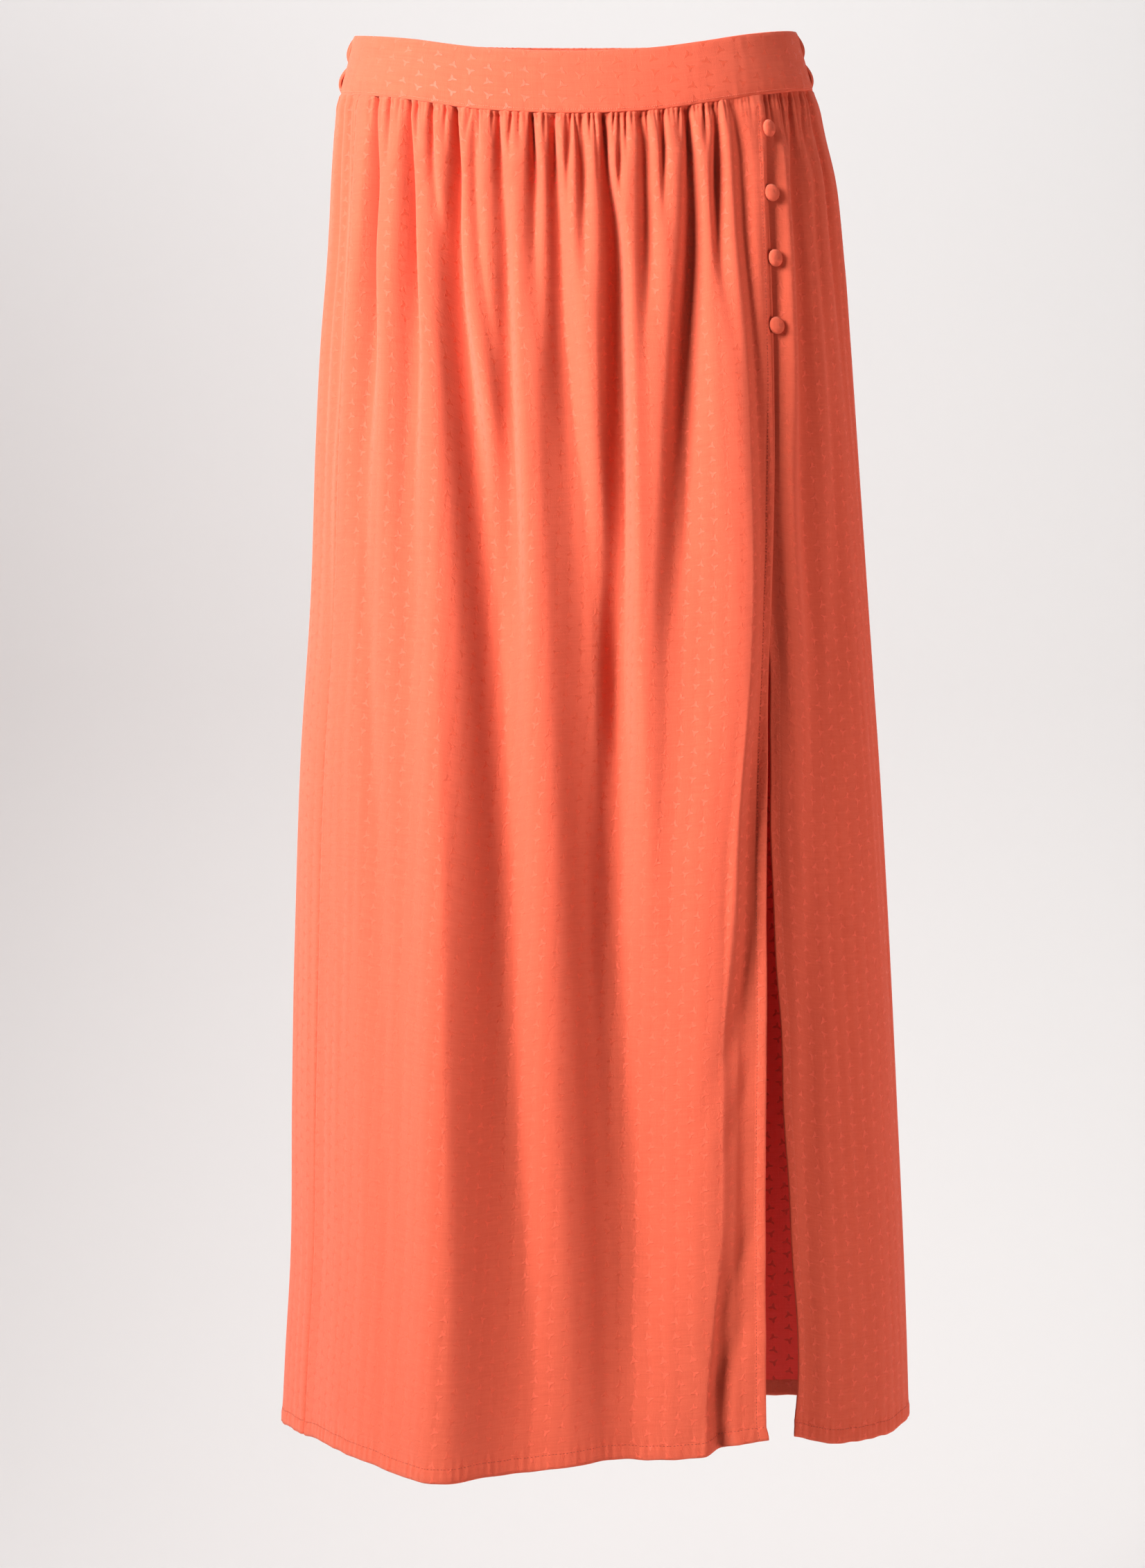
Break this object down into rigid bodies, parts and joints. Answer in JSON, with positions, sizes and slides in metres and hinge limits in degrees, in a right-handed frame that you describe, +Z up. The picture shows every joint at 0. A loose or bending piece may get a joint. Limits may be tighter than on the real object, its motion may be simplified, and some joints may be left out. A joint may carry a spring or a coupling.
{
  "type": "maxi skirt",
  "caption": "Long gathered skirt with a flat front waistband, an elasticated back waistband and a side-front placket with covered buttons and loops that opens into a slit.",
  "frame": {"origin": "centre of the waist, level with the side ends of the waist seam, where the wearer's waist holds the skirt", "axes": "+Z up, towards the top of the waistband; the front faces -Y; +X is to the right seen from the front, the side of the placket and slit"},
  "size_m": [0.4185, 0.3326, 0.947],
  "materials": {
    "skirt_cloth": "soft matt coral viscose with a small tone-on-tone satin motif",
    "band_cloth": "the same cloth, doubled and pressed flat",
    "elastic_band": "the same cloth, ruched over elastic",
    "covered_button": "the same cloth, stretched over a domed button",
    "loop_cord": "fine coral cord"
  },
  "bodies": {
    "root": {"front_panel": "skirt_cloth", "side_front_panel": "skirt_cloth", "back_panel": "skirt_cloth", "front_waistband": "band_cloth", "back_waistband": "elastic_band", "button_1": "covered_button", "button_2": "covered_button", "button_3": "covered_button", "button_4": "covered_button", "button_loop_1": "loop_cord", "button_loop_2": "loop_cord", "button_loop_3": "loop_cord", "button_loop_4": "loop_cord"}
  },
  "joints": []
}
